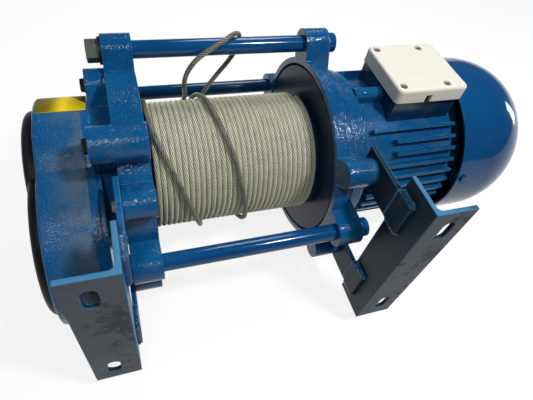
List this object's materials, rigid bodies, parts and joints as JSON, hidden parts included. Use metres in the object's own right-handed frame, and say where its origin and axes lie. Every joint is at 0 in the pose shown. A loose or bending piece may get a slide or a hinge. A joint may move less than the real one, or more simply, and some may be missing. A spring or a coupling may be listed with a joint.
{
  "type": "electric winch",
  "caption": "Electric rope winch: drum between two lugged end plates on tie rods, lobed gearbox at one end, finned motor with domed cover at the other, slotted angle feet.",
  "frame": {"origin": "centre of the four foot slots, on the plane that the feet bolt to", "axes": "+X along the drum towards the motor, -Y out of the feet into the surface they bolt to, +Z towards the terminal box lid; the winch lies on its side as pictured, so its feet face -Y"},
  "size_m": [0.679, 0.372, 0.2935],
  "materials": {
    "blue_cast_paint": "thick blue enamel over rough castings",
    "blue_smooth_paint": "glossy blue enamel on turned and pressed steel",
    "dark_paint": "dark slate paint, satin",
    "drum_paint": "dark slate paint with rubbed rim",
    "foot_paint": "thin slate paint with bare grey patches and scraped blue edges",
    "wire_rope": "galvanised stranded wire, greased",
    "zinc_hardware": "zinc plated",
    "dark_hardware": "blackened steel",
    "machined_steel": "ground steel",
    "gear_steel": "cut and oiled gear steel",
    "black_rubber": "nitrile rubber",
    "cream_plastic": "moulded cream plastic",
    "black_plastic": "moulded black plastic",
    "core_steel": "laminated core steel",
    "copper_winding": "varnished copper wire"
  },
  "bodies": {
    "frame": {"left_end_plate": "blue_cast_paint", "right_end_plate": "blue_cast_paint", "tie_rod_top": "blue_smooth_paint", "tie_rod_back": "blue_smooth_paint", "tie_rod_front": "blue_smooth_paint", "tie_rod_bottom": "blue_smooth_paint", "rod_washers": "dark_hardware", "rod_nuts": "zinc_hardware", "left_foot_angle": "foot_paint", "left_foot_strap_upper": "foot_paint", "left_foot_strap_lower": "foot_paint", "left_foot_welds": "foot_paint", "right_foot_angle": "foot_paint", "right_foot_strap_upper": "foot_paint", "right_foot_strap_lower": "foot_paint", "right_foot_welds": "foot_paint", "strap_bolts": "zinc_hardware", "left_drum_bearing": "machined_steel", "right_drum_bearing": "machined_steel", "rope_tail": "wire_rope", "rope_end_sleeve": "zinc_hardware", "gearbox_base": "blue_cast_paint", "case_gasket": "black_rubber", "gearbox_case": "blue_cast_paint", "cap_gasket": "black_rubber", "gearbox_cap": "dark_paint", "cap_screws": "dark_hardware", "gearbox_bolts": "dark_hardware", "drum_oil_seal": "black_rubber", "layshaft_bearings": "machined_steel", "shaft_end_bearing": "machined_steel", "stator_core": "core_steel", "stator_windings": "copper_winding", "motor_front_shield": "blue_cast_paint", "motor_frame": "blue_cast_paint", "motor_rear_shield": "dark_paint", "motor_bearings": "machined_steel", "brake_coil": "dark_paint", "brake_plate": "machined_steel", "fan_cover": "blue_smooth_paint", "cover_screws": "blue_smooth_paint", "terminal_box": "dark_paint", "terminal_block": "black_plastic", "lid_gasket": "black_rubber", "terminal_lid": "cream_plastic", "lid_screws": "zinc_hardware"},
    "drum": {"rope_drum": "drum_paint", "rope_winding": "wire_rope", "drum_gear": "gear_steel", "rope_clamp_bolts": "dark_hardware"},
    "layshaft_set": {"layshaft": "machined_steel", "layshaft_pinion": "gear_steel", "layshaft_gear": "gear_steel"},
    "rotor": {"motor_shaft": "machined_steel", "rotor_core": "core_steel", "motor_pinion": "gear_steel", "brake_disc": "core_steel", "cooling_fan": "black_plastic"}
  },
  "joints": [
    {"name": "drum_spin", "type": "hinge", "parent": "frame", "child": "drum", "pos_m": [0, 0.212, 0], "axis": [1, 0, 0], "continuous": true},
    {"name": "layshaft_spin", "type": "hinge", "parent": "frame", "child": "layshaft_set", "pos_m": [0, 0.14208, -0.02712], "axis": [1, 0, 0], "continuous": true},
    {"name": "rotor_spin", "type": "hinge", "parent": "frame", "child": "rotor", "pos_m": [0, 0.212, 0], "axis": [1, 0, 0], "continuous": true}
  ],
  "couplings": [
    {"joint": "layshaft_spin", "follows": "drum_spin", "ratio": -5.25},
    {"joint": "rotor_spin", "follows": "drum_spin", "ratio": 35.135}
  ]
}
